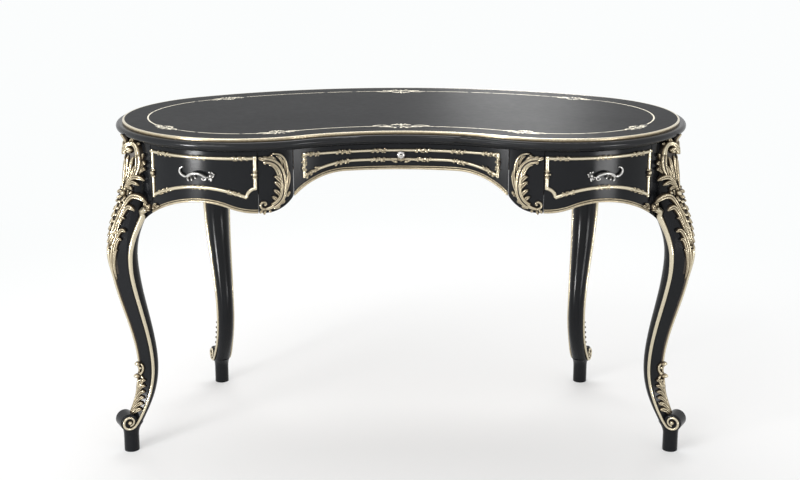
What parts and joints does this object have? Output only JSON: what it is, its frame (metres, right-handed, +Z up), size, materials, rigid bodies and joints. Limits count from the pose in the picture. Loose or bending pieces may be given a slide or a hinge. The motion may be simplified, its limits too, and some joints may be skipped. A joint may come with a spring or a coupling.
{
  "type": "writing desk",
  "caption": "Kidney-shaped writing desk with moulded top, scalloped apron, sliding drawers and carved cabriole legs.",
  "frame": {"origin": "on the floor under the middle of the desk's box", "axes": "+X to the right of a person facing the drawers, +Y to the back, +Z up"},
  "size_m": [1.3701, 0.73, 0.79],
  "materials": {
    "black_lacquer": "polished black lacquer",
    "gilt_carving": "champagne gilding with dark patina",
    "drawer_oak": "bare oiled wood",
    "silvered_brass": "silvered cast brass"
  },
  "bodies": {
    "desk": {"apron_bead_back": "gilt_carving", "apron_bead_left": "gilt_carving", "apron_bead_right": "gilt_carving", "back_rail": "black_lacquer", "bearer_centre": "drawer_oak", "bearer_left": "drawer_oak", "bearer_right": "drawer_oak", "bed_moulding": "black_lacquer", "corner_stile_left": "black_lacquer", "corner_stile_right": "black_lacquer", "drawer_stops": "drawer_oak", "end_rail_left": "black_lacquer", "end_rail_right": "black_lacquer", "leg_back_left": "black_lacquer", "leg_back_right": "black_lacquer", "leg_front_left": "black_lacquer", "leg_front_right": "black_lacquer", "partition_left": "drawer_oak", "partition_right": "drawer_oak", "runner_centre_left": "drawer_oak", "runner_centre_right": "drawer_oak", "runner_left_inner": "drawer_oak", "runner_left_outer": "drawer_oak", "runner_right_inner": "drawer_oak", "runner_right_outer": "drawer_oak", "stile_carving_left": "gilt_carving", "stile_carving_right": "gilt_carving", "stile_left": "black_lacquer", "stile_right": "black_lacquer", "top_gilt_edge": "gilt_carving", "top_panel": "black_lacquer", "upper_rail_centre": "drawer_oak", "upper_rail_left": "drawer_oak", "upper_rail_right": "drawer_oak"},
    "left_drawer": {"left_back": "drawer_oak", "left_bead": "gilt_carving", "left_bottom": "drawer_oak", "left_frame": "gilt_carving", "left_front": "black_lacquer", "left_pull": "silvered_brass", "left_side_left": "drawer_oak", "left_side_right": "drawer_oak"},
    "centre_drawer": {"centre_back": "drawer_oak", "centre_bead": "gilt_carving", "centre_bottom": "drawer_oak", "centre_frame": "gilt_carving", "centre_front": "black_lacquer", "centre_knob": "silvered_brass", "centre_side_left": "drawer_oak", "centre_side_right": "drawer_oak"},
    "right_drawer": {"right_back": "drawer_oak", "right_bead": "gilt_carving", "right_bottom": "drawer_oak", "right_frame": "gilt_carving", "right_front": "black_lacquer", "right_pull": "silvered_brass", "right_side_left": "drawer_oak", "right_side_right": "drawer_oak"}
  },
  "joints": [
    {"name": "left_drawer_slide", "type": "slide", "parent": "desk", "child": "left_drawer", "axis": [0, -1, 0], "range_m": [0, 0.26]},
    {"name": "centre_drawer_slide", "type": "slide", "parent": "desk", "child": "centre_drawer", "axis": [0, -1, 0], "range_m": [0, 0.26]},
    {"name": "right_drawer_slide", "type": "slide", "parent": "desk", "child": "right_drawer", "axis": [0, -1, 0], "range_m": [0, 0.26]}
  ]
}
